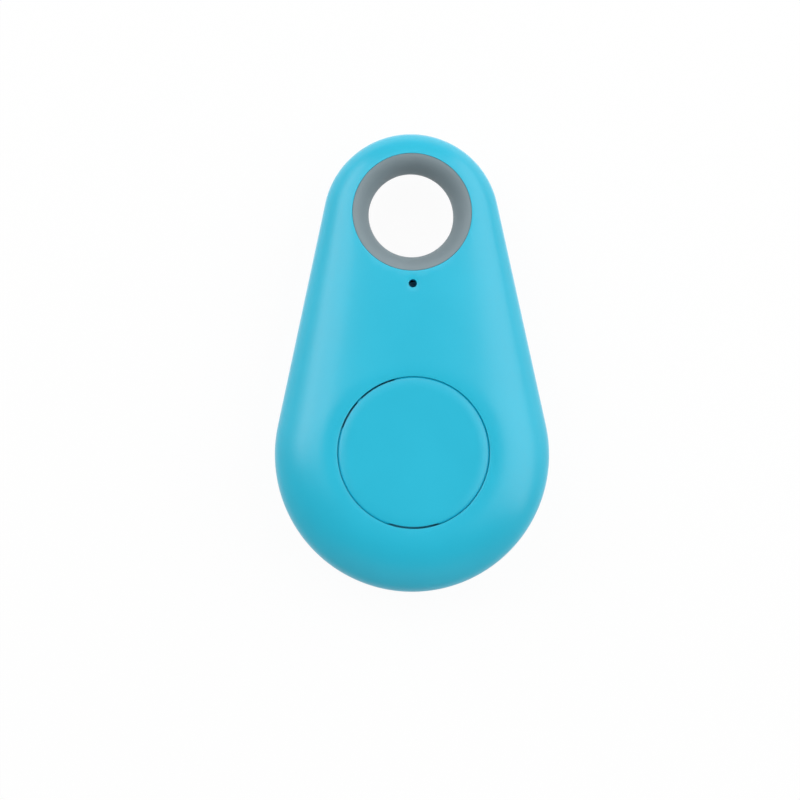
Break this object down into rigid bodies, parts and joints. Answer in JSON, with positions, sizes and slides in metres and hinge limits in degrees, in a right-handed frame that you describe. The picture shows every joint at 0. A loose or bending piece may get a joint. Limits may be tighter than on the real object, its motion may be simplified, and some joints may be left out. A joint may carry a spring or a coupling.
{
  "type": "wireless tracker tag",
  "caption": "Drop-shaped wireless tracker tag with a lined key-ring hole, a round push button, a coin cell, a buzzer and a case whose front half comes off.",
  "frame": {"origin": "middle of the outline at the back of the case, on the surface that the tag lies on", "axes": "+X across the tag, +Y from the button towards the key hole, +Z out of the face with the button"},
  "size_m": [0.031, 0.052, 0.011],
  "materials": {
    "case_blue": "satin",
    "liner_grey": "satin",
    "board_green": "satin",
    "copper": "satin",
    "black_plastic": "matte",
    "ceramic_beige": "matte",
    "ceramic_white": "satin",
    "clear_epoxy": "gloss",
    "steel": "satin",
    "gasket_plastic": "matte",
    "cathode_pellet": "matte",
    "separator_paper": "matte",
    "anode_metal": "satin",
    "contact_bronze": "satin",
    "brass": "satin",
    "tape": "matte",
    "red_insulation": "satin",
    "black_insulation": "satin",
    "solder": "satin"
  },
  "bodies": {
    "rear_case": {"rear_shell": "case_blue", "keyhole_liner": "liner_grey", "circuit_board": "board_green", "antenna_trace": "copper", "radio_chip": "black_plastic", "crystal": "ceramic_beige", "led_base": "ceramic_white", "led_lens": "clear_epoxy", "chip_capacitors": "ceramic_beige", "chip_resistors": "black_plastic", "switch_base": "black_plastic", "switch_terminals": "steel", "switch_dome": "steel", "switch_cover": "steel", "battery_can": "steel", "battery_gasket": "gasket_plastic", "battery_cap": "steel", "battery_cathode": "cathode_pellet", "battery_separator": "separator_paper", "battery_anode": "anode_metal", "battery_clip": "steel", "battery_contact": "contact_bronze", "buzzer_tape": "tape", "buzzer_plate": "brass", "buzzer_ceramic": "ceramic_white", "buzzer_lead_red": "red_insulation", "buzzer_lead_black": "black_insulation", "solder_joints": "solder"},
    "front_cover": {"front_shell": "case_blue"},
    "button": {"button_cap": "case_blue"},
    "switch_plunger": {"switch_plunger": "black_plastic"}
  },
  "joints": [
    {"name": "front_cover_lift", "type": "slide", "parent": "rear_case", "child": "front_cover", "axis": [0, 0, 1], "range_m": [0, 0.03]},
    {"name": "button_press", "type": "slide", "parent": "front_cover", "child": "button", "axis": [0, 0, -1], "range_m": [0, 0.0003], "stiffness_N_per_m": 5000},
    {"name": "plunger_press", "type": "slide", "parent": "rear_case", "child": "switch_plunger", "axis": [0, 0, -1], "range_m": [0, 0.0003], "deforming": ["switch_dome"]}
  ],
  "couplings": [
    {"joint": "plunger_press", "follows": "button_press", "ratio": 1}
  ]
}
